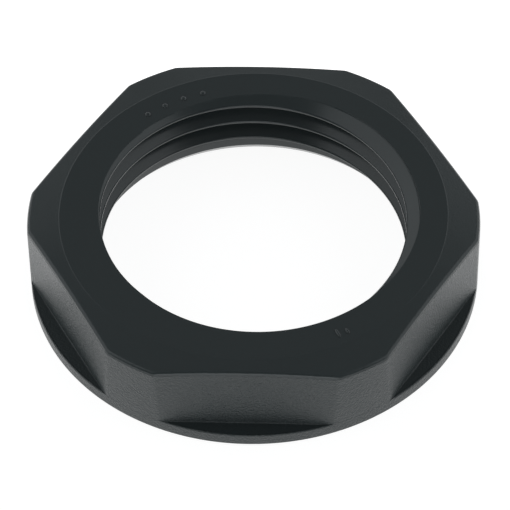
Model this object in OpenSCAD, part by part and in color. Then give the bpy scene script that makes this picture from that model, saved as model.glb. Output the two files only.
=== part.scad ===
// Flanged hexagon lock nut for a cable gland with a 3/4-14 straight conduit thread.
// One injection-moulded piece: a round flange seats on the enclosure wall, six
// spanner flats stand on it, and the bore carries a coarse 60 degree thread.
// The origin is on the thread axis in the seating face, and +Z points away from
// the wall. One flat faces -Y.

/* [Spanner hexagon] */
// Width across the six flats, the spanner size
across_flats = 33; // [32:0.25:33.5]
// Height from the seating face to the flat top ring
nut_height = 7; // [6.5:0.1:8.5]
// Radius of the fillet where a flat runs out into the flange
flat_fillet = 0.2; // [0.1:0.05:0.8]

/* [Flange] */
// Outer diameter of the flange and of the hexagon's rounded corners
flange_diameter = 35.6; // [35:0.1:36.5]
// Thickness of the flange rim
flange_thickness = 1.1; // [0.8:0.1:1.6]
// Small bevel that breaks the flange's lower edge
edge_break = 0.15; // [0.05:0.05:0.3]

/* [Top face] */
// Diameter of the flat ring, where the shallow outer cone starts
ring_diameter = 30.5; // [29.5:0.25:31.5]
// Fall of the outer cone towards the corners, in degrees
cone_fall = 11; // [5:1:18]

/* [Thread] */
// Diameter across the thread crests
minor_diameter = 24.1; // [23.8:0.1:24.6]
// Diameter at the thread roots
major_diameter = 26.2; // [25.9:0.1:26.3]
// Distance from one crest to the next, 14 to the inch
pitch = 1.814; // [1.75:0.001:1.85]
// Angle between a flank and a plane across the axis
flank_angle = 33; // [28:0.5:35]
// Width of the flat left on each crest
crest_flat = 0.2; // [0.12:0.01:0.34]
// Diameter of the plain relief below the last crest
relief_diameter = 26.1; // [25.8:0.1:26.2]
// Height of the lead-in cone at the seating face
lead_in_height = 0.9; // [0.3:0.1:1.4]
// Diameter of the lead-in cone's mouth
lead_in_diameter = 27.4; // [26.8:0.1:28]

/* [Moulding marks] */
// Height of the raised marks on the top ring
mark_height = 0.12; // [0.05:0.01:0.2]
// Diameter of each round pip
pip_diameter = 0.5; // [0.3:0.05:0.8]
// Number of round pips
pip_count = 4; // [1:1:6]
// Width of each short bar
bar_width = 0.3; // [0.2:0.05:0.5]

/* [Hidden] */

round_fn = 96;
overcut = 1;

flange_radius = flange_diameter / 2;
flat_distance = across_flats / 2;
ring_radius = ring_diameter / 2;
crest_radius = minor_diameter / 2;
root_radius = major_diameter / 2;
corner_height = nut_height - (flange_radius - ring_radius) * tan(cone_fall);

// A groove is a V with a narrow flat root. Its half width grows with the flank
// angle from the root to the crest diameter.
thread_depth = root_radius - crest_radius;
groove_half_mouth = (pitch - crest_flat) / 2;
groove_half_root = max(0.05, groove_half_mouth - thread_depth * tan(flank_angle));
groove_count = 3;

// The relief starts under the last crest with one more flank.
relief_radius = relief_diameter / 2;
relief_top = nut_height - (groove_count - 0.5) * pitch - crest_flat / 2;
relief_shoulder = relief_top - (relief_radius - crest_radius) * tan(flank_angle);

// The marks sit in the middle of the top ring.
pip_orbit = (ring_radius + root_radius) / 2 - 0.6;
pip_centre_angle = 120;
pip_spacing_angle = 7;
bar_angles = [-61, -58];
bar_starts = [13.7, 14];
bar_lengths = [0.95, 0.65];
mark_sink = 0.2;

// Half section of the blank: seating face, rim, corner column, cone, flat ring.
module blank() {
    rotate_extrude($fn = round_fn)
        polygon([
            [0, 0],
            [flange_radius - edge_break, 0],
            [flange_radius, edge_break],
            [flange_radius, corner_height],
            [ring_radius, nut_height],
            [0, nut_height]
        ]);
}

// Outline of the stock taken away in front of a flat, with the fillet left on.
module flat_outline() {
    difference() {
        translate([flat_distance, flange_thickness])
            square([flange_radius, nut_height]);
        difference() {
            translate([flat_distance, flange_thickness])
                square(flat_fillet);
            translate([flat_distance + flat_fillet, flange_thickness + flat_fillet])
                circle(flat_fillet, $fn = round_fn);
        }
    }
}

// One spanner flat, cut down to the flange.
module flat_cut(side) {
    rotate([0, 0, side * 60 - 90])
        rotate([90, 0, 0])
            linear_extrude(2 * flange_radius, center = true)
                flat_outline();
}

// The plain bore with its relief and the lead-in cone at the seating face.
module bore_cut() {
    translate([0, 0, -overcut])
        cylinder(h = nut_height + 2 * overcut, r = crest_radius, $fn = round_fn);
    mouth_radius = lead_in_diameter / 2;
    rotate_extrude($fn = round_fn)
        polygon([
            [0, -overcut],
            [mouth_radius, -overcut],
            [mouth_radius, 0],
            [relief_radius, lead_in_height],
            [relief_radius, relief_shoulder],
            [crest_radius, relief_top],
            [0, relief_top]
        ]);
}

// One turn of the thread groove, drawn as a ring.
module groove_cut(turn) {
    middle = nut_height - turn * pitch;
    translate([0, 0, middle])
        rotate_extrude($fn = round_fn)
            polygon([
                [crest_radius - overcut, -groove_half_mouth],
                [crest_radius, -groove_half_mouth],
                [root_radius, -groove_half_root],
                [root_radius, groove_half_root],
                [crest_radius, groove_half_mouth],
                [crest_radius - overcut, groove_half_mouth]
            ]);
}

// Round pips in an arc, a plain moulding mark.
module pip_marks() {
    for (i = [0 : pip_count - 1])
        rotate([0, 0, pip_centre_angle + (i - (pip_count - 1) / 2) * pip_spacing_angle])
            translate([pip_orbit, 0, nut_height - mark_sink])
                cylinder(h = mark_sink + mark_height, d = pip_diameter, $fn = 32);
}

// Two short radial bars, a plain moulding mark.
module bar_marks() {
    for (i = [0 : len(bar_angles) - 1])
        rotate([0, 0, bar_angles[i]])
            translate([bar_starts[i], -bar_width / 2, nut_height - mark_sink])
                cube([bar_lengths[i], bar_width, mark_sink + mark_height]);
}

module lock_nut() {
    color([0.13, 0.14, 0.145])
        union() {
            difference() {
                blank();
                for (side = [0 : 5]) flat_cut(side);
                bore_cut();
                for (turn = [0 : groove_count - 1]) groove_cut(turn);
            }
            pip_marks();
            bar_marks();
        }
}

lock_nut();
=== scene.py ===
# %% [markdown]
# # The lock nut of a cable gland
#
# A cable gland passes a cable through the wall of an enclosure, and this nut pulls it tight from the
# inside. It is one moulding in black polyamide: a round flange, six spanner flats standing on it and a
# coarse thread in the bore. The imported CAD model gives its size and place, and this lesson builds the
# same nut with the details that a moulding shows: soft fillets, a true helical thread and a fine grain.

from math import cos, radians, sin

import bpy
from mathutils import Matrix, Vector


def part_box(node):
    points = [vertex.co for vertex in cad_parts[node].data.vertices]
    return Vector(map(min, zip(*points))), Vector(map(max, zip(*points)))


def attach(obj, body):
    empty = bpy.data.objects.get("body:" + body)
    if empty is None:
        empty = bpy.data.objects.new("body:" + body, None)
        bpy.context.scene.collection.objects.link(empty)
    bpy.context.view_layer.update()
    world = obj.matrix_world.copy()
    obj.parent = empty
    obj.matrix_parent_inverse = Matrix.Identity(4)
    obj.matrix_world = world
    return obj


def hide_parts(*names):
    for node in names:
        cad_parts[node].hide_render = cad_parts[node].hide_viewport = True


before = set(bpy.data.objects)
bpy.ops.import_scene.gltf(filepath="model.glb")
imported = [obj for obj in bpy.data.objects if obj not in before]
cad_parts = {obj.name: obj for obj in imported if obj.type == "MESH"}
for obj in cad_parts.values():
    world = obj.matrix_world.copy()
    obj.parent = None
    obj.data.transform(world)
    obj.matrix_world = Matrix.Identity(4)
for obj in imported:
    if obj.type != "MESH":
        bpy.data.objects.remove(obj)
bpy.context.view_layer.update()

MM = 0.001

# %% [markdown]
# ## Sizes
#
# A nut follows a rule, so a few sizes say everything. Most repeat the CAD source, in millimetres. Some
# are finer than the CAD part: the flats lean in a little towards the top, the fillet at their foot is
# small and their top edge is soft. The witness is the faint step between the flat ring and the outer
# cone, such as two pieces of steel in a mould leave where they meet. The thread foot is the height where
# the thread ends. They could be typed where they are used, but in one table they can be compared.

# %% Name the sizes
FLAT_COUNT = 6
SIZES_MM = {
    "Across flats": 33.0,
    "Height": 7.0,
    "Flange diameter": 35.6,
    "Flange thickness": 1.1,
    "Foot fillet": 0.05,
    "Flat lean": 0.12,
    "Ring diameter": 30.5,
    "Crest diameter": 24.1,
    "Root diameter": 26.2,
    "Pitch": 1.814,
    "Thread foot": 1.9,
    "Relief diameter": 26.1,
    "Relief shoulder": 0.3,
    "Lead-in height": 0.9,
    "Lead-in diameter": 27.4,
    "Lower edge rounding": 0.15,
    "Rim rounding": 0.12,
    "Corner softness": 0.08,
    "Top edge rounding": 0.35,
    "Witness width": 0.05,
    "Witness depth": 0.015,
    "Mark height": 0.12,
    "Pip diameter": 0.5,
    "Bar width": 0.3,
}
ANGLES = {
    "Cone fall": 11.0,
    "Thread turn": 32.0,
}
ROWS_PER_PITCH = 24
COUNTS = {"Columns": 600, "Rows per pitch": ROWS_PER_PITCH, "Pip count": 4}

low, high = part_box("lock_nut")
print("CAD nut spans", [round(side / MM, 2) for side in high - low], "mm")

# %% [markdown]
# ## One function for every node
#
# Node trees are wiring. A node is made, its settings are set, and each input gets a number or a wire.
# One function does this for geometry, material and world trees alike. A name in capitals, such as
# "ADD", stands for a Math node, because formulas need so many of them. A function for each kind of node
# would read more shortly, but one is easier to learn.

# %% Define the node helper
def add(tree, kind, inputs=(), **settings):
    """Adds one node with its settings and inputs. A node given as an input means its first output."""
    if kind.isupper():
        settings["operation"] = kind
        kind = "ShaderNodeMath"
    made = tree.nodes.new(kind)
    for name, value in settings.items():
        setattr(made, name, value)
    shown = [socket for socket in made.inputs if socket.enabled]
    pairs = inputs.items() if isinstance(inputs, dict) else enumerate(inputs)
    for key, value in pairs:
        socket = shown[key] if isinstance(key, int) else next(s for s in shown if s.name == key)
        for wire in value if isinstance(value, list) else [value]:
            if isinstance(wire, bpy.types.Node):
                wire = next(s for s in wire.outputs if s.enabled)
            if isinstance(wire, bpy.types.NodeSocket):
                tree.links.new(wire, socket)
            else:
                socket.default_value = wire
    return made


print("One helper adds every node")

# %% [markdown]
# ## The nut's node tree and its inputs
#
# The nut could be cut with booleans from a hexagon and a cylinder, but their cuts leave ragged
# triangles that shade badly. Here the skin is knitted instead: flat grids are bent round the axis, one
# for each surface. Columns go once round the axis and rows go along the profile, from the seating face
# up the outside, over the top and down the bore. The tree starts with one named input for each size.

# %% Start the tree
nut_tree = bpy.data.node_groups.new("Hexagon lock nut", "GeometryNodeTree")
nut_tree.interface.new_socket("Nut", in_out="OUTPUT", socket_type="NodeSocketGeometry")
input_values = {}
for name, value in SIZES_MM.items():
    input_values[name] = value * MM
for name, value in ANGLES.items():
    input_values[name] = radians(value)
input_values.update(COUNTS)
input_ids = {}
for name, value in input_values.items():
    socket_type = "NodeSocketInt" if isinstance(value, int) else "NodeSocketFloat"
    made = nut_tree.interface.new_socket(name, in_out="INPUT", socket_type=socket_type)
    input_ids[name] = made.identifier
size = add(nut_tree, "NodeGroupInput").outputs
print("The nut's tree has", len(input_ids), "named inputs")

# %% [markdown]
# Every point of a grid knows its own place, and that becomes two numbers from 0 to 1: how far round the
# axis it goes and how far along its strip of profile it goes. Long strips get their rows crowded to both
# ends, so that the shading of a rounded edge doesn't spill over the flat face beside it.

# %% Turn grid places into angle and progress
FULL_TURN = radians(360)
place = add(nut_tree, "ShaderNodeSeparateXYZ", [add(nut_tree, "GeometryNodeInputPosition")])
around = add(nut_tree, "ADD", [place.outputs["X"], 0.5])
along = add(nut_tree, "ADD", [place.outputs["Y"], 0.5])
angle = add(nut_tree, "MULTIPLY", [around, FULL_TURN])
eased = add(nut_tree, "ShaderNodeMapRange", [along], interpolation_type="SMOOTHSTEP")
crowded = add(nut_tree, "ShaderNodeMapRange", [eased], interpolation_type="SMOOTHSTEP")


def between(start, end, share=crowded):
    """A value on the way from start to end."""
    reach = add(nut_tree, "SUBTRACT", [end, start])
    return add(nut_tree, "MULTIPLY_ADD", [share, reach, start])


print("A grid's columns turn through", round(FULL_TURN, 3), "radians")

# %% [markdown]
# ## The outside: a hexagon inside a circle
#
# At each angle the spanner flat lies at its distance divided by the cosine of the angle off its middle.
# Where that is more than the flange's radius, the corner is turned down to the flange. A smooth minimum
# of the two gives the slightly soft vertical edges of the moulding.

# %% Work out the outline of the flats
half_flats = add(nut_tree, "MULTIPLY", [size["Across flats"], 0.5])
rim_radius = add(nut_tree, "MULTIPLY", [size["Flange diameter"], 0.5])
softness = size["Corner softness"]
flat_turn = add(nut_tree, "FLOORED_MODULO", [angle, FULL_TURN / FLAT_COUNT])
off_middle = add(nut_tree, "SUBTRACT", [flat_turn, FULL_TURN / FLAT_COUNT / 2])
slant = add(nut_tree, "COSINE", [off_middle])


def flat_outline(distance):
    """The radius of a hexagon with flats at that distance, held inside the flange."""
    hexagon = add(nut_tree, "DIVIDE", [distance, slant])
    return add(nut_tree, "SMOOTH_MIN", [rim_radius, hexagon, softness])


top_flats = add(nut_tree, "SUBTRACT", [half_flats, size["Flat lean"]])
wall = flat_outline(top_flats)
fillet_reach = add(nut_tree, "ADD", [half_flats, size["Foot fillet"]])
fillet_start = flat_outline(fillet_reach)
print("The outline has", FLAT_COUNT, "flats of", SIZES_MM["Across flats"] / 2, "mm from the axis")

# %% [markdown]
# The strips of the outside follow one another. Each has a row count, a radius and a height. A quarter
# turn of sine and cosine draws the rounded edges and the fillet at the foot of the flats. The rim's
# rounding shrinks to nothing where the corners stand flush with the flange.

# %% Draw the flange and the flats
QUARTER = radians(90)
quarter_turn = add(nut_tree, "MULTIPLY", [along, QUARTER])
rise = add(nut_tree, "SINE", [quarter_turn])
lag = add(nut_tree, "SUBTRACT", [1.0, add(nut_tree, "COSINE", [quarter_turn])])
unrisen = add(nut_tree, "SUBTRACT", [1.0, rise])

lower_edge = size["Lower edge rounding"]
seat_edge = add(nut_tree, "SUBTRACT", [rim_radius, lower_edge])
lead_in_mouth = add(nut_tree, "MULTIPLY", [size["Lead-in diameter"], 0.5])
lower_radius = add(nut_tree, "MULTIPLY_ADD", [lower_edge, rise, seat_edge])
lower_height = add(nut_tree, "MULTIPLY", [lower_edge, lag])

ledge_width = add(nut_tree, "SUBTRACT", [rim_radius, fillet_start])
rim_edge = add(nut_tree, "MINIMUM", [ledge_width, size["Rim rounding"]])
rim_top = add(nut_tree, "SUBTRACT", [size["Flange thickness"], rim_edge])
ledge_start = add(nut_tree, "SUBTRACT", [rim_radius, rim_edge])
rim_radius_here = between(rim_radius, ledge_start, lag)
rim_height_here = between(rim_top, size["Flange thickness"], rise)

fillet_flat = add(nut_tree, "MULTIPLY_ADD", [size["Foot fillet"], unrisen, half_flats])
fillet_radius = flat_outline(fillet_flat)
fillet_height = add(nut_tree, "MULTIPLY_ADD", [size["Foot fillet"], lag, size["Flange thickness"]])
fillet_top = add(nut_tree, "ADD", [size["Flange thickness"], size["Foot fillet"]])
flats_start_mm = SIZES_MM["Flange thickness"] + SIZES_MM["Foot fillet"]
print("The flats start", round(flats_start_mm, 2), "mm above the seat")

# %% [markdown]
# ## The top: a cone, a witness step and a flat ring
#
# The corners of the hexagon fall away in a shallow cone, so that the nut can't dig into a spanner or a
# finger. The edge between flat and cone is rounded: its arc starts on the flat a little below the edge
# and ends on the cone. A Bevel modifier could round it too, but the arc gives clean rows of faces. The
# witness between cone and ring is a step of only 0.015 mm, and shows as a fine line.

# %% Draw the top edge and the cone
ring_radius = add(nut_tree, "MULTIPLY", [size["Ring diameter"], 0.5])
half_witness = add(nut_tree, "MULTIPLY", [size["Witness width"], 0.5])
cone_start = add(nut_tree, "ADD", [ring_radius, half_witness])
cone_slope = add(nut_tree, "TANGENT", [size["Cone fall"]])
edge_turn = add(nut_tree, "SUBTRACT", [QUARTER, size["Cone fall"]])
edge_round = size["Top edge rounding"]
cone_top = add(nut_tree, "SUBTRACT", [size["Height"], size["Witness depth"]])


def cone_height(radius):
    """The height of the cone's surface at a radius."""
    fall = add(nut_tree, "MULTIPLY", [add(nut_tree, "SUBTRACT", [radius, cone_start]), cone_slope])
    return add(nut_tree, "SUBTRACT", [cone_top, fall])


half_edge_turn = add(nut_tree, "TANGENT", [add(nut_tree, "MULTIPLY", [edge_turn, 0.5])])
edge_drop = add(nut_tree, "MULTIPLY", [edge_round, half_edge_turn])
wall_top = add(nut_tree, "SUBTRACT", [cone_height(wall), edge_drop])
edge_angle = add(nut_tree, "MULTIPLY", [along, edge_turn])
edge_in = add(nut_tree, "SUBTRACT", [1.0, add(nut_tree, "COSINE", [edge_angle])])
edge_radius = add(nut_tree, "SUBTRACT", [wall, add(nut_tree, "MULTIPLY", [edge_round, edge_in])])
edge_height = add(nut_tree, "MULTIPLY_ADD", [edge_round, add(nut_tree, "SINE", [edge_angle]), wall_top])
full_edge_in = add(nut_tree, "SUBTRACT", [1.0, add(nut_tree, "COSINE", [edge_turn])])
cone_end = add(nut_tree, "SUBTRACT", [wall, add(nut_tree, "MULTIPLY", [edge_round, full_edge_in])])
cone_radius = between(cone_end, cone_start)

ring_start = add(nut_tree, "SUBTRACT", [ring_radius, half_witness])
witness_height = between(cone_top, size["Height"], along)
print("The cone falls by", ANGLES["Cone fall"], "degrees outside", SIZES_MM["Ring diameter"], "mm")

# %% [markdown]
# ## The bore: a true helix
#
# A thread is a groove that climbs one pitch for each turn. It could be swept along a helix and cut out,
# but a cut at the top face would be ragged. Here the rows of the bore climb with the thread, 24 to a
# pitch, so the edges of crest, flanks and root lie exactly on rows. Rows that would pass the top face or
# the foot of the thread are held there, and points that meet are merged at the end. The groove's depth
# depends only on how far a point is from the middle of the nearest groove.

# %% Work out the radius of the bore
CREST_SHARE = 2 / ROWS_PER_PITCH
ROOT_SHARE = 4 / ROWS_PER_PITCH
flank_share = (1 - CREST_SHARE - ROOT_SHARE) / 2
groove_share = (1 - CREST_SHARE) / 2
pitch = size["Pitch"]
crest_radius = add(nut_tree, "MULTIPLY", [size["Crest diameter"], 0.5])
root_radius = add(nut_tree, "MULTIPLY", [size["Root diameter"], 0.5])
thread_depth = add(nut_tree, "SUBTRACT", [root_radius, crest_radius])
turned = add(nut_tree, "DIVIDE", [add(nut_tree, "SUBTRACT", [angle, size["Thread turn"]]), FULL_TURN])
groove_height = add(nut_tree, "MULTIPLY_ADD", [pitch, turned, size["Height"]])


def bore_radius(height):
    """The radius of the threaded bore at a height."""
    above_groove = add(nut_tree, "SUBTRACT", [height, groove_height])
    grooves_up = add(nut_tree, "DIVIDE", [above_groove, pitch])
    nearest = add(nut_tree, "ROUND", [grooves_up])
    off_groove = add(nut_tree, "ABSOLUTE", [add(nut_tree, "SUBTRACT", [grooves_up, nearest])])
    inside = add(nut_tree, "SUBTRACT", [groove_share, off_groove])
    depth_share = add(nut_tree, "DIVIDE", [inside, flank_share], use_clamp=True)
    return add(nut_tree, "MULTIPLY_ADD", [depth_share, thread_depth, crest_radius])


print("The crest is", round(SIZES_MM["Pitch"] * CREST_SHARE, 3), "mm wide")

# %% [markdown]
# The number of rows follows from the sizes: enough to go from just above the top face down to the foot
# of the thread at every angle, which takes a little over one pitch more than the threaded height. Three
# rows above the middle of a groove reach past the top face at every angle, and fewer would leave a gap.
# Below the foot the bore is relieved to almost the root diameter.

# %% Lay the rows of the bore along the helix
ROWS_ABOVE = 3
thread_foot = size["Thread foot"]
threaded = add(nut_tree, "SUBTRACT", [size["Height"], thread_foot])
turns_threaded = add(nut_tree, "DIVIDE", [threaded, pitch])
rows_threaded = add(nut_tree, "MULTIPLY", [turns_threaded, size["Rows per pitch"]])
rows_spare = add(nut_tree, "ADD", [size["Rows per pitch"], ROWS_ABOVE + 1.0])
bore_steps = add(nut_tree, "CEIL", [add(nut_tree, "ADD", [rows_threaded, rows_spare])])
step = add(nut_tree, "DIVIDE", [pitch, size["Rows per pitch"]])
rows_down = add(nut_tree, "SUBTRACT", [ROWS_ABOVE, add(nut_tree, "MULTIPLY", [along, bore_steps])])
helix_height = add(nut_tree, "MULTIPLY_ADD", [rows_down, step, groove_height])
below_top = add(nut_tree, "MINIMUM", [helix_height, size["Height"]])
bore_height = add(nut_tree, "MAXIMUM", [below_top, thread_foot])
bore_edge = bore_radius(size["Height"])
bore_end = bore_radius(thread_foot)
relief_radius = add(nut_tree, "MULTIPLY", [size["Relief diameter"], 0.5])
relief_top = add(nut_tree, "SUBTRACT", [thread_foot, size["Relief shoulder"]])
threaded_mm = SIZES_MM["Height"] - SIZES_MM["Thread foot"]
print("The thread has", round(threaded_mm / SIZES_MM["Pitch"], 2), "turns")

# %% [markdown]
# ## Knitting the strips
#
# Each strip is a grid that is moved onto its surface. A named attribute goes with it, the share of
# grain: the rim and the flats have all of it, the seat and the ledge less, the top a trace and the
# thread none. The material reads it later. The strips are joined, their shared points merge, and edges
# of more than 65 degrees are shaded as sharp. Separate materials would also do, but one material that
# reads an attribute keeps the colour and the gloss in one place.

# %% Make the strips and join them
GRAIN = "grain_share"
FULL_GRAIN = 1.0
LEDGE_GRAIN = 0.3
EDGE_GRAIN = 0.15
TOP_GRAIN = 0.05
NO_GRAIN = 0.0
column_points = add(nut_tree, "ADD", [size["Columns"], 1.0])
round_x = add(nut_tree, "COSINE", [angle])
round_y = add(nut_tree, "SINE", [angle])
flange_top = size["Flange thickness"]
strips = [
    # Rows, radius, height and share of grain, from the seat round the outside to the bore's mouth.
    (6, between(lead_in_mouth, seat_edge), 0.0, LEDGE_GRAIN),
    (3, lower_radius, lower_height, FULL_GRAIN),
    (5, rim_radius, between(lower_edge, rim_top), FULL_GRAIN),
    (4, rim_radius_here, rim_height_here, FULL_GRAIN),
    (5, between(ledge_start, fillet_start), flange_top, LEDGE_GRAIN),
    (6, fillet_radius, fillet_height, FULL_GRAIN),
    (8, flat_outline(between(half_flats, top_flats)), between(fillet_top, wall_top), FULL_GRAIN),
    (6, edge_radius, edge_height, EDGE_GRAIN),
    (6, cone_radius, cone_height(cone_radius), TOP_GRAIN),
    (4, between(cone_start, ring_start, along), witness_height, TOP_GRAIN),
    (6, between(ring_start, bore_edge), size["Height"], TOP_GRAIN),
    (bore_steps, bore_radius(bore_height), bore_height, NO_GRAIN),
    (4, between(bore_end, relief_radius), between(thread_foot, relief_top), NO_GRAIN),
    (4, relief_radius, between(relief_top, size["Lead-in height"]), NO_GRAIN),
    (4, between(relief_radius, lead_in_mouth), between(size["Lead-in height"], 0.0), NO_GRAIN),
]
knitted = []
for rows, radius, height, grain in strips:
    row_points = add(nut_tree, "ADD", [rows, 1.0])
    grid = add(nut_tree, "GeometryNodeMeshGrid", [1.0, 1.0, column_points, row_points])
    across_x = add(nut_tree, "MULTIPLY", [radius, round_x])
    across_y = add(nut_tree, "MULTIPLY", [radius, round_y])
    target = add(nut_tree, "ShaderNodeCombineXYZ", [across_x, across_y, height])
    bent = add(nut_tree, "GeometryNodeSetPosition", {"Geometry": grid, "Position": target})
    grained = add(
        nut_tree,
        "GeometryNodeStoreNamedAttribute",
        {"Geometry": bent, "Name": GRAIN, "Value": grain},
        data_type="FLOAT",
        domain="POINT",
    )
    knitted.append(grained)

MERGE_DISTANCE = 0.001 * MM
SHARP_ANGLE = radians(65)
joined = add(nut_tree, "GeometryNodeJoinGeometry", [knitted])
closed = add(nut_tree, "GeometryNodeMergeByDistance", {"Geometry": joined, "Distance": MERGE_DISTANCE})
smooth = add(nut_tree, "GeometryNodeSetShadeSmooth", {"Geometry": closed, "Shade Smooth": True})
fold = add(nut_tree, "GeometryNodeInputMeshEdgeAngle")
is_sharp = add(nut_tree, "FunctionNodeCompare", [fold, SHARP_ANGLE], operation="GREATER_THAN")
shaded = add(
    nut_tree,
    "GeometryNodeSetShadeSmooth",
    {"Geometry": smooth, "Selection": is_sharp, "Shade Smooth": False},
    domain="EDGE",
)
print("The skin is knitted from", len(strips), "strips")

# %% [markdown]
# ## The moulding marks
#
# The flat ring carries a few small raised marks. Four plain pips and two short bars stand for them. One
# low dome is instanced on points: round for a pip, and stretched along the radius for a bar. Only its
# upper half stands out of the ring, so that no gap shows. The marks could be bump in the material, but
# real ones catch the light on their own edges, so they are made as shapes.

# %% Set the pips and bars on the ring
PIP_ORBIT = 13.65 * MM
PIP_CENTRE = radians(120)
PIP_SPACING = radians(7)
BAR_START = 13.7 * MM
BAR_STEP = 0.3 * MM
BAR_LENGTH = 0.95 * MM
BAR_ANGLE = radians(-61)
BAR_TURN = radians(3)
BAR_COUNT = 2
number = add(nut_tree, "GeometryNodeInputIndex")
pip_middle = add(nut_tree, "MULTIPLY", [add(nut_tree, "SUBTRACT", [size["Pip count"], 1.0]), 0.5])
pip_offset = add(nut_tree, "SUBTRACT", [number, pip_middle])
pip_angle = add(nut_tree, "MULTIPLY_ADD", [pip_offset, PIP_SPACING, PIP_CENTRE])
bar_angle = add(nut_tree, "MULTIPLY_ADD", [number, BAR_TURN, BAR_ANGLE])
bar_begin = add(nut_tree, "MULTIPLY_ADD", [number, BAR_STEP, BAR_START])
bar_length = add(nut_tree, "SUBTRACT", [BAR_LENGTH, add(nut_tree, "MULTIPLY", [number, BAR_STEP])])
bar_middle = add(nut_tree, "MULTIPLY_ADD", [bar_length, 0.5, bar_begin])
pip_size = size["Pip diameter"]
mark_rise = add(nut_tree, "MULTIPLY", [size["Mark height"], 2.0])
dome = add(nut_tree, "GeometryNodeMeshUVSphere", {"Segments": 24, "Rings": 12, "Radius": 0.5})
soft_dome = add(nut_tree, "GeometryNodeSetShadeSmooth", {"Geometry": dome, "Shade Smooth": True})
marks = []
for count, turn, orbit, length, width in [
    (size["Pip count"], pip_angle, PIP_ORBIT, pip_size, pip_size),
    (BAR_COUNT, bar_angle, bar_middle, bar_length, size["Bar width"]),
]:
    mark_x = add(nut_tree, "MULTIPLY", [orbit, add(nut_tree, "COSINE", [turn])])
    mark_y = add(nut_tree, "MULTIPLY", [orbit, add(nut_tree, "SINE", [turn])])
    spot = add(nut_tree, "ShaderNodeCombineXYZ", [mark_x, mark_y, size["Height"]])
    row = add(nut_tree, "GeometryNodePoints", {"Count": count, "Position": spot})
    marks.append(
        add(
            nut_tree,
            "GeometryNodeInstanceOnPoints",
            {
                "Points": row,
                "Instance": soft_dome,
                "Rotation": add(nut_tree, "ShaderNodeCombineXYZ", [0.0, 0.0, turn]),
                "Scale": add(nut_tree, "ShaderNodeCombineXYZ", [length, width, mark_rise]),
            },
        )
    )
print("The ring carries", COUNTS["Pip count"], "pips and", BAR_COUNT, "bars")

# %% [markdown]
# ## The material
#
# The nut is taken to be polyamide, black all through and injection moulded. Plastic copies the steel it
# was moulded against. Polished steel gives the top and the thread a soft gloss, and spark-eroded steel
# gives the flats and the rim a fine, even grain that scatters the light. To the eye that is a black
# which is never quite black: grey where it faces a lamp, and dull on the flats. Faint patches where the
# melt flowed and cooled unevenly keep the gloss from looking like paint. Grain could be modelled as
# faces, but it is far too fine for that, so a bump gives it.

# %% Mix the black polyamide
def colour(hex_value):
    """An sRGB hex colour as linear numbers with full opacity."""
    channels = [int(hex_value[i : i + 2], 16) / 255 for i in (1, 3, 5)]
    linear = [c / 12.92 if c <= 0.04045 else ((c + 0.055) / 1.055) ** 2.4 for c in channels]
    return (*linear, 1.0)


polyamide = bpy.data.materials.new("Black moulded polyamide")
polyamide.use_nodes = True
finish = polyamide.node_tree
finish.nodes.clear()
grain_share = add(finish, "ShaderNodeAttribute", attribute_name=GRAIN).outputs["Fac"]
here = add(finish, "ShaderNodeTexCoord").outputs["Object"]
# Spark-eroded grain is often a few hundredths of a millimetre wide. That is too fine to show here, so
# it is drawn at 0.16 mm, a few times coarser. Its depth and the roughnesses are matched.
GRAIN_SIZE = 0.16 * MM
GRAIN_DEPTH = 0.1 * MM
FLOW_SIZE = 4.0 * MM
SMOOTH_ROUGHNESS = 0.14
FLOW_ROUGHNESS = 0.1
GRAIN_ROUGHNESS = 0.14
GRAIN_DETAIL = 2.0
FLOW_DETAIL = 4.0
BLACK = "#323839"
POLYAMIDE_IOR = 1.46
grit_inputs = {"Vector": here, "Scale": 1 / GRAIN_SIZE, "Detail": GRAIN_DETAIL}
grit = add(finish, "ShaderNodeTexNoise", grit_inputs)
grit_depth = add(finish, "MULTIPLY", [grit, grain_share])
dents = add(finish, "ShaderNodeBump", {"Strength": 1.0, "Distance": GRAIN_DEPTH, "Height": grit_depth})
flow_inputs = {"Vector": here, "Scale": 1 / FLOW_SIZE, "Detail": FLOW_DETAIL}
flow = add(finish, "ShaderNodeTexNoise", flow_inputs)
gloss_drift = add(finish, "MULTIPLY_ADD", [flow, FLOW_ROUGHNESS, SMOOTH_ROUGHNESS])
roughness = add(finish, "MULTIPLY_ADD", [grain_share, GRAIN_ROUGHNESS, gloss_drift])
surface = add(
    finish,
    "ShaderNodeBsdfPrincipled",
    {"Base Color": colour(BLACK), "Roughness": roughness, "IOR": POLYAMIDE_IOR, "Normal": dents},
)
add(finish, "ShaderNodeOutputMaterial", {"Surface": surface})
print("The material has", len(finish.nodes), "nodes")

# %% [markdown]
# The tree ends by turning the instances into real faces and giving everything its material. A modifier
# on an empty mesh runs it, and the result is kept as a plain mesh, because the export drops instances.

# %% Finish the tree and evaluate it
whole = add(nut_tree, "GeometryNodeJoinGeometry", [[shaded, *marks]])
real = add(nut_tree, "GeometryNodeRealizeInstances", {"Geometry": whole})
painted = add(nut_tree, "GeometryNodeSetMaterial", {"Geometry": real, "Material": polyamide})
add(nut_tree, "NodeGroupOutput", [painted])

blank = bpy.data.objects.new("blank", bpy.data.meshes.new("blank"))
bpy.context.scene.collection.objects.link(blank)
modifier = blank.modifiers.new("Hexagon lock nut", "NODES")
modifier.node_group = nut_tree
for name, value in input_values.items():
    modifier[input_ids[name]] = value
ready = blank.evaluated_get(bpy.context.evaluated_depsgraph_get())
nut_mesh = bpy.data.meshes.new_from_object(ready)
nut_mesh.name = "moulded_lock_nut"
bpy.data.objects.remove(blank)
nut = bpy.data.objects.new("moulded_lock_nut", nut_mesh)
bpy.context.scene.collection.objects.link(nut)
print("The nut has", len(nut_mesh.vertices), "points and", len(nut_mesh.polygons), "faces")

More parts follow.
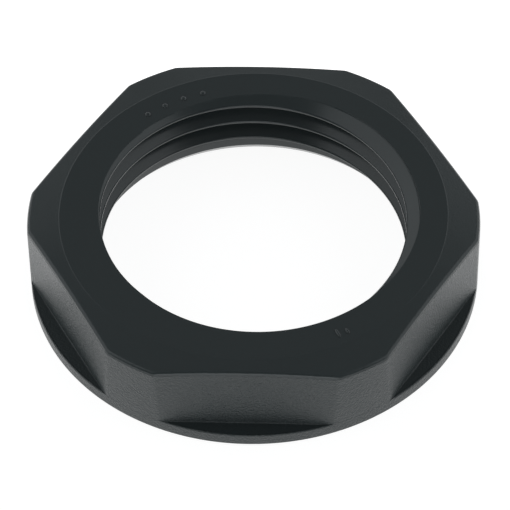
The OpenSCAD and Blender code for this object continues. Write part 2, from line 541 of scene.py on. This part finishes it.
# %% [markdown]
# ## Its place in the part
#
# The real nut is one piece that turns only on a gland's stem, so the part has one body and no joint. The
# visual nut rides on that body and takes the place of the CAD solid. It could be moved into place by
# hand, but it was built in the CAD model's own coordinates and needs no move.

# %% Put the nut in the frame
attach(nut, "root")
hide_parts("lock_nut")
print("The nut rides on root")

# %% [markdown]
# ## The table
#
# The nut lies on a pale, matt table that glows softly by itself, as a light table does. That keeps it
# white right up to the nut, where a plain sheet would turn grey in the nut's shade. Away from the rim it
# glows more beside and behind the nut than in front, so the side flats have something brighter to mirror
# than the front flat. A white sheet under strong lamps could do much the same, but its brightness would
# change with every lamp.

# %% Lay the table
TABLE_SIZE = 4.0
TABLE_GAP = 0.02 * MM
TABLE_ROUGHNESS = 0.8
TABLE_GLOW = 0.93
EXTRA_GLOW = 0.5
GLOW_FROM = 18 * MM
GLOW_FULL = 25 * MM
BEHIND_FROM = -16 * MM
BEHIND_FULL = -5 * MM
bpy.ops.mesh.primitive_plane_add(size=TABLE_SIZE, location=(0, 0, -TABLE_GAP))
floor = bpy.context.object
floor.name = "floor"
paper = bpy.data.materials.new("White table")
paper.use_nodes = True
spread = paper.node_tree
spread.nodes.clear()


def fade(tree, value, start, end, low_end=0.0, high_end=1.0):
    """A soft change from one value to another while the input goes from start to end."""
    limits = [value, start, end, low_end, high_end]
    return add(tree, "ShaderNodeMapRange", limits, interpolation_type="SMOOTHSTEP")


table_place = add(spread, "ShaderNodeTexCoord").outputs["Object"]
from_axis = add(spread, "ShaderNodeVectorMath", [table_place], operation="LENGTH").outputs["Value"]
table_y = add(spread, "ShaderNodeSeparateXYZ", [table_place]).outputs["Y"]
beyond_rim = fade(spread, from_axis, GLOW_FROM, GLOW_FULL)
behind = fade(spread, table_y, BEHIND_FROM, BEHIND_FULL)
extra_glow = add(spread, "MULTIPLY", [beyond_rim, behind])
table_glow = add(spread, "MULTIPLY_ADD", [extra_glow, EXTRA_GLOW, TABLE_GLOW])
sheet = add(
    spread,
    "ShaderNodeBsdfPrincipled",
    {
        "Base Color": colour("#808080"),
        "Roughness": TABLE_ROUGHNESS,
        "Specular IOR Level": 0.0,
        "Emission Color": colour("#ffffff"),
        "Emission Strength": table_glow,
    },
)
add(spread, "ShaderNodeOutputMaterial", {"Surface": sheet})
floor.data.materials.append(paper)
print("The table is", TABLE_SIZE, "m wide")

# %% [markdown]
# ## The light
#
# A black, glossy thing shows mostly what it mirrors, so the light is a room and not a lamp. Two wide soft
# boxes hang to the left and right. Between them the room is dim and a little brighter to the rear, with a
# glow low behind and a bright strip low in front, which the front flat mirrors. Area lamps could do this,
# but each needs a size, a place and a strength, and one dome describes the whole room. A ray's direction
# says where it meets the room: X over Z is how far to the side it meets a level ceiling, and Y tells
# front from rear.

# %% Light the room
# Where each light starts and is full, and then its two strengths where they aren't 0 and 1.
LEFT_BOX = (-0.46, -0.54)
RIGHT_BOX = (0.55, 0.65)
BOX_FRONT_END = (-0.48, -0.32)
BOX_RISE = (0.1, 0.5, 0.6, 1.0)
REAR_WALL = (-0.65, 0.15, 0.07, 0.23)
LOW_REAR_GLOW = (0.86, 1.0, 0.0, 0.4)
LOW_FRONT_STRIP = (-0.82, -0.94, 0.0, 1.8)
BOX_SKEW = 0.17
LOWEST_Z = 0.05
COOL_WHITE = "#f8fdff"
air_world = bpy.data.worlds.new("Soft studio")
bpy.context.scene.world = air_world
air_world.use_nodes = True
air = air_world.node_tree
air.nodes.clear()
ray = add(air, "ShaderNodeTexCoord").outputs["Generated"]
toward = add(air, "ShaderNodeSeparateXYZ", [ray])
ray_y = toward.outputs["Y"]
ray_z = toward.outputs["Z"]
steepness = add(air, "MAXIMUM", [ray_z, LOWEST_Z])
across = add(air, "DIVIDE", [toward.outputs["X"], steepness])
skewed = add(air, "MULTIPLY_ADD", [ray_y, BOX_SKEW, across])
left_box = fade(air, skewed, *LEFT_BOX)
right_box = fade(air, skewed, *RIGHT_BOX)
boxes = add(air, "MAXIMUM", [left_box, right_box])
not_front = fade(air, ray_y, *BOX_FRONT_END)
raised = fade(air, ray_z, *BOX_RISE)
box_light = add(air, "MULTIPLY", [add(air, "MULTIPLY", [boxes, not_front]), raised])
rear = fade(air, ray_y, *REAR_WALL)
low_rear = fade(air, ray_y, *LOW_REAR_GLOW)
low_front = fade(air, ray_y, *LOW_FRONT_STRIP)
backdrop = add(air, "ADD", [rear, add(air, "ADD", [low_rear, low_front])])
glow = add(air, "MAXIMUM", [box_light, backdrop])
sky = add(air, "ShaderNodeBackground", {"Color": colour(COOL_WHITE), "Strength": glow})
add(air, "ShaderNodeOutputWorld", {"Surface": sky})
print("The room's light has", len(air.nodes), "nodes")

# %% [markdown]
# ## Camera
#
# The camera looks down at one flat at about 48 degrees, from 28 cm away and through a long lens, which
# keeps the hexagon's sides nearly parallel, as product pictures do. It is turned and rolled by a degree
# or two, as a camera held over a table is. It could be aimed with a Track To constraint, but a matrix
# built from its own three directions has no surprises.

# %% Place the camera
FLANGE_RADIUS = 17.8 * MM
ELEVATION = radians(48.20)
TURN = radians(2.79)
ROLL = radians(1.03)
DISTANCE = 0.2799
SENSOR_WIDTH_MM = 36
FOCAL_LENGTH_MM = 247.3
AIM_RIGHT = 0.0036 * FLANGE_RADIUS
AIM_UP = 0.0707 * FLANGE_RADIUS
turn = Matrix.Rotation(TURN, 3, "Z")
back = turn @ Vector((0, -cos(ELEVATION), sin(ELEVATION)))
right = turn @ Vector((1, 0, 0))
up = turn @ Vector((0, sin(ELEVATION), cos(ELEVATION)))
camera_right = right * cos(ROLL) - up * sin(ROLL)
camera_up = right * sin(ROLL) + up * cos(ROLL)
position = back * DISTANCE + right * AIM_RIGHT + up * AIM_UP
lens = bpy.data.cameras.new("camera")
lens.sensor_width = SENSOR_WIDTH_MM
lens.lens = FOCAL_LENGTH_MM
lens.clip_start = 0.01
camera = bpy.data.objects.new("camera", lens)
camera.matrix_world = Matrix.Translation(position) @ Matrix(
    (camera_right, camera_up, back)
).transposed().to_4x4()
bpy.context.scene.collection.objects.link(camera)
bpy.context.scene.camera = camera
bpy.context.scene.view_settings.view_transform = "Standard"
print("The camera stands at", [round(value, 3) for value in position], "m")
